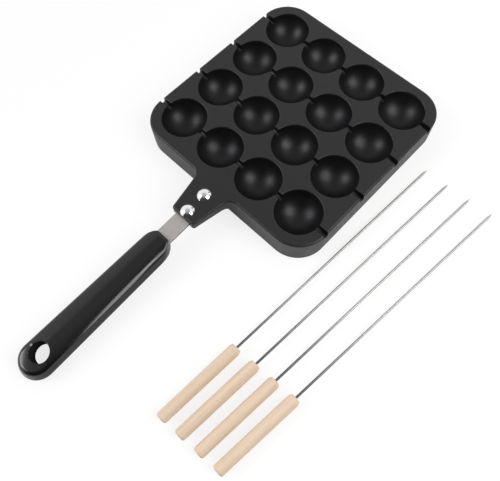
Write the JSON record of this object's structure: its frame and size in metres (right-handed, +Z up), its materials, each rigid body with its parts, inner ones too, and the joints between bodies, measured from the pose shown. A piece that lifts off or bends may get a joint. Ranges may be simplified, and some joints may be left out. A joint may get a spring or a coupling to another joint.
{
  "type": "takoyaki pan",
  "caption": "Square cast takoyaki pan with a grid of half-round cups, oil channels and a riveted black handle, with loose turning picks that have wooden handles.",
  "frame": {"origin": "centre of the pan's foot, on the surface that the pan stands on", "axes": "+X along the oil channels towards the picks, -Y along the handle, +Z up"},
  "size_m": [0.2753, 0.3975, 0.0274],
  "materials": {
    "nonstick_coat": "die-cast aluminium under a charcoal non-stick coat, fine satin",
    "strip_steel": "matt rolled steel",
    "grip_plastic": "glossy black moulded phenolic",
    "screw_steel": "bright zinc plate",
    "rivet_metal": "polished",
    "pick_wood": "plain turned pale wood, unvarnished",
    "needle_steel": "drawn stainless wire"
  },
  "bodies": {
    "pan": {"pan_casting": "nonstick_coat", "handle_strip": "strip_steel", "handle_grip": "grip_plastic", "grip_screw": "screw_steel", "rivet_rear": "rivet_metal", "rivet_front": "rivet_metal"},
    "pick_1": {"pick_1_handle": "pick_wood", "pick_1_needle": "needle_steel"},
    "pick_2": {"pick_2_handle": "pick_wood", "pick_2_needle": "needle_steel"},
    "pick_3": {"pick_3_handle": "pick_wood", "pick_3_needle": "needle_steel"},
    "pick_4": {"pick_4_handle": "pick_wood", "pick_4_needle": "needle_steel"}
  },
  "joints": [
    {"name": "pick_1_lift", "type": "slide", "parent": "pan", "child": "pick_1", "axis": [0, 0, 1], "range_m": [0, 0.06]},
    {"name": "pick_2_lift", "type": "slide", "parent": "pan", "child": "pick_2", "axis": [0, 0, 1], "range_m": [0, 0.06]},
    {"name": "pick_3_lift", "type": "slide", "parent": "pan", "child": "pick_3", "axis": [0, 0, 1], "range_m": [0, 0.06]},
    {"name": "pick_4_lift", "type": "slide", "parent": "pan", "child": "pick_4", "axis": [0, 0, 1], "range_m": [0, 0.06]}
  ]
}
